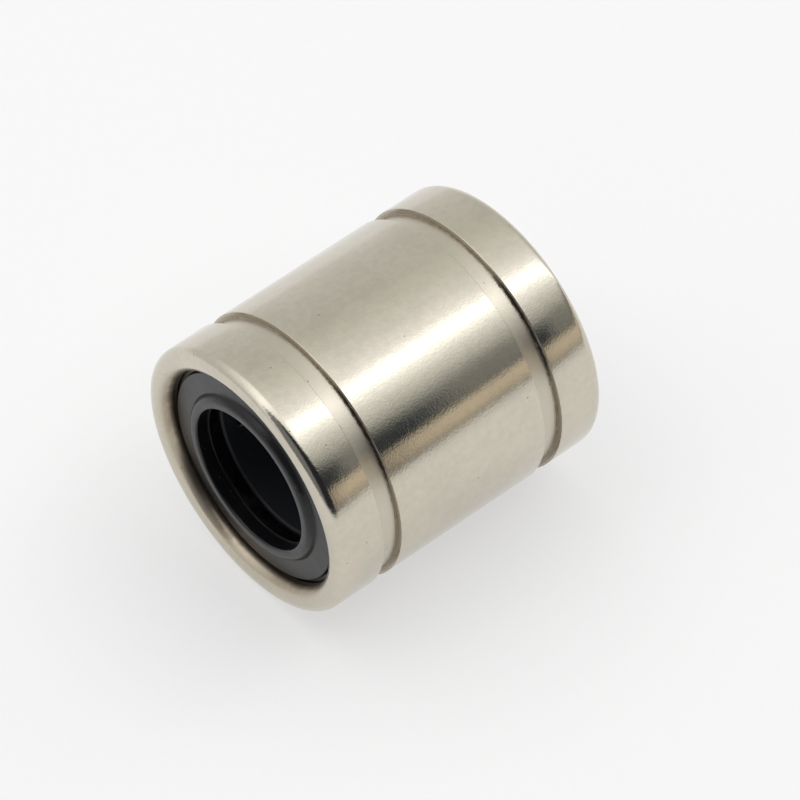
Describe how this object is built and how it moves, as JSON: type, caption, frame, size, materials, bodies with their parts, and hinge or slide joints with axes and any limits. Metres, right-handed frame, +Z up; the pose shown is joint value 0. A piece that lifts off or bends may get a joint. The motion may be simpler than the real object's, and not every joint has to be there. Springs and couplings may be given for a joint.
{
  "type": "linear ball bushing",
  "caption": "Short closed linear ball bushing: nickel-plated steel sleeve with retaining ring grooves, recirculating ball circuits in a black retainer, and rubber lip seals at both ends.",
  "frame": {"origin": "middle of the bushing, on the axis of its shaft bore", "axes": "+X along the shaft, from the front end (-X) to the rear end; +Z up, with the bushing lying on its side; ball circuit 1's loaded row is 10 degrees from +Z"},
  "size_m": [0.017, 0.015, 0.015],
  "materials": {
    "sleeve_steel": "ground bearing steel with a thin satin nickel plate",
    "ring_steel": "turned steel, blackened and oiled",
    "ball_steel": "polished bearing steel",
    "retainer_resin": "black moulded resin",
    "seal_rubber": "black satin nitrile rubber"
  },
  "bodies": {
    "bushing": {"outer_sleeve": "sleeve_steel", "ball_retainer": "retainer_resin", "end_ring_front": "ring_steel", "end_ring_rear": "ring_steel", "seal_front": "seal_rubber", "seal_rear": "seal_rubber"},
    "loaded_row_1": {"loaded_balls_1": "ball_steel"},
    "return_row_1": {"return_balls_1": "ball_steel"},
    "front_turn_1": {"front_turn_balls_1": "ball_steel"},
    "rear_turn_1": {"rear_turn_balls_1": "ball_steel"},
    "loaded_row_2": {"loaded_balls_2": "ball_steel"},
    "return_row_2": {"return_balls_2": "ball_steel"},
    "front_turn_2": {"front_turn_balls_2": "ball_steel"},
    "rear_turn_2": {"rear_turn_balls_2": "ball_steel"},
    "loaded_row_3": {"loaded_balls_3": "ball_steel"},
    "return_row_3": {"return_balls_3": "ball_steel"},
    "front_turn_3": {"front_turn_balls_3": "ball_steel"},
    "rear_turn_3": {"rear_turn_balls_3": "ball_steel"},
    "loaded_row_4": {"loaded_balls_4": "ball_steel"},
    "return_row_4": {"return_balls_4": "ball_steel"},
    "front_turn_4": {"front_turn_balls_4": "ball_steel"},
    "rear_turn_4": {"rear_turn_balls_4": "ball_steel"}
  },
  "joints": [
    {"name": "loaded_row_travel_1", "type": "slide", "parent": "bushing", "child": "loaded_row_1", "axis": [1, 0, 0], "range_m": [-0.00084, 0.00084]},
    {"name": "return_row_travel_1", "type": "slide", "parent": "bushing", "child": "return_row_1", "axis": [1, 0, 0], "range_m": [-0.00084, 0.00084]},
    {"name": "front_turn_spin_1", "type": "hinge", "parent": "bushing", "child": "front_turn_1", "pos_m": [-0.00422, 0.0019, 0.00462], "axis": [0, 0.058, 0.9983], "range_deg": [-45.01, 45.01]},
    {"name": "rear_turn_spin_1", "type": "hinge", "parent": "bushing", "child": "rear_turn_1", "pos_m": [0.00422, 0.0019, 0.00462], "axis": [0, 0.058, 0.9983], "range_deg": [-45.01, 45.01]},
    {"name": "loaded_row_travel_2", "type": "slide", "parent": "bushing", "child": "loaded_row_2", "axis": [1, 0, 0], "range_m": [-0.00084, 0.00084]},
    {"name": "return_row_travel_2", "type": "slide", "parent": "bushing", "child": "return_row_2", "axis": [1, 0, 0], "range_m": [-0.00084, 0.00084]},
    {"name": "front_turn_spin_2", "type": "hinge", "parent": "bushing", "child": "front_turn_2", "pos_m": [-0.00422, -0.00462, 0.0019], "axis": [0, -0.9983, 0.058], "range_deg": [-45.01, 45.01]},
    {"name": "rear_turn_spin_2", "type": "hinge", "parent": "bushing", "child": "rear_turn_2", "pos_m": [0.00422, -0.00462, 0.0019], "axis": [0, -0.9983, 0.058], "range_deg": [-45.01, 45.01]},
    {"name": "loaded_row_travel_3", "type": "slide", "parent": "bushing", "child": "loaded_row_3", "axis": [1, 0, 0], "range_m": [-0.00084, 0.00084]},
    {"name": "return_row_travel_3", "type": "slide", "parent": "bushing", "child": "return_row_3", "axis": [1, 0, 0], "range_m": [-0.00084, 0.00084]},
    {"name": "front_turn_spin_3", "type": "hinge", "parent": "bushing", "child": "front_turn_3", "pos_m": [-0.00422, -0.0019, -0.00462], "axis": [0, -0.058, -0.9983], "range_deg": [-45.01, 45.01]},
    {"name": "rear_turn_spin_3", "type": "hinge", "parent": "bushing", "child": "rear_turn_3", "pos_m": [0.00422, -0.0019, -0.00462], "axis": [0, -0.058, -0.9983], "range_deg": [-45.01, 45.01]},
    {"name": "loaded_row_travel_4", "type": "slide", "parent": "bushing", "child": "loaded_row_4", "axis": [1, 0, 0], "range_m": [-0.00084, 0.00084]},
    {"name": "return_row_travel_4", "type": "slide", "parent": "bushing", "child": "return_row_4", "axis": [1, 0, 0], "range_m": [-0.00084, 0.00084]},
    {"name": "front_turn_spin_4", "type": "hinge", "parent": "bushing", "child": "front_turn_4", "pos_m": [-0.00422, 0.00462, -0.0019], "axis": [0, 0.9983, -0.058], "range_deg": [-45.01, 45.01]},
    {"name": "rear_turn_spin_4", "type": "hinge", "parent": "bushing", "child": "rear_turn_4", "pos_m": [0.00422, 0.00462, -0.0019], "axis": [0, 0.9983, -0.058], "range_deg": [-45.01, 45.01]}
  ],
  "couplings": [
    {"joint": "return_row_travel_1", "follows": "loaded_row_travel_1", "ratio": -1},
    {"joint": "front_turn_spin_1", "follows": "loaded_row_travel_1", "rad_per_m": 930.23},
    {"joint": "rear_turn_spin_1", "follows": "loaded_row_travel_1", "rad_per_m": 930.23},
    {"joint": "return_row_travel_2", "follows": "loaded_row_travel_2", "ratio": -1},
    {"joint": "front_turn_spin_2", "follows": "loaded_row_travel_2", "rad_per_m": 930.23},
    {"joint": "rear_turn_spin_2", "follows": "loaded_row_travel_2", "rad_per_m": 930.23},
    {"joint": "return_row_travel_3", "follows": "loaded_row_travel_3", "ratio": -1},
    {"joint": "front_turn_spin_3", "follows": "loaded_row_travel_3", "rad_per_m": 930.23},
    {"joint": "rear_turn_spin_3", "follows": "loaded_row_travel_3", "rad_per_m": 930.23},
    {"joint": "return_row_travel_4", "follows": "loaded_row_travel_4", "ratio": -1},
    {"joint": "front_turn_spin_4", "follows": "loaded_row_travel_4", "rad_per_m": 930.23},
    {"joint": "rear_turn_spin_4", "follows": "loaded_row_travel_4", "rad_per_m": 930.23}
  ]
}
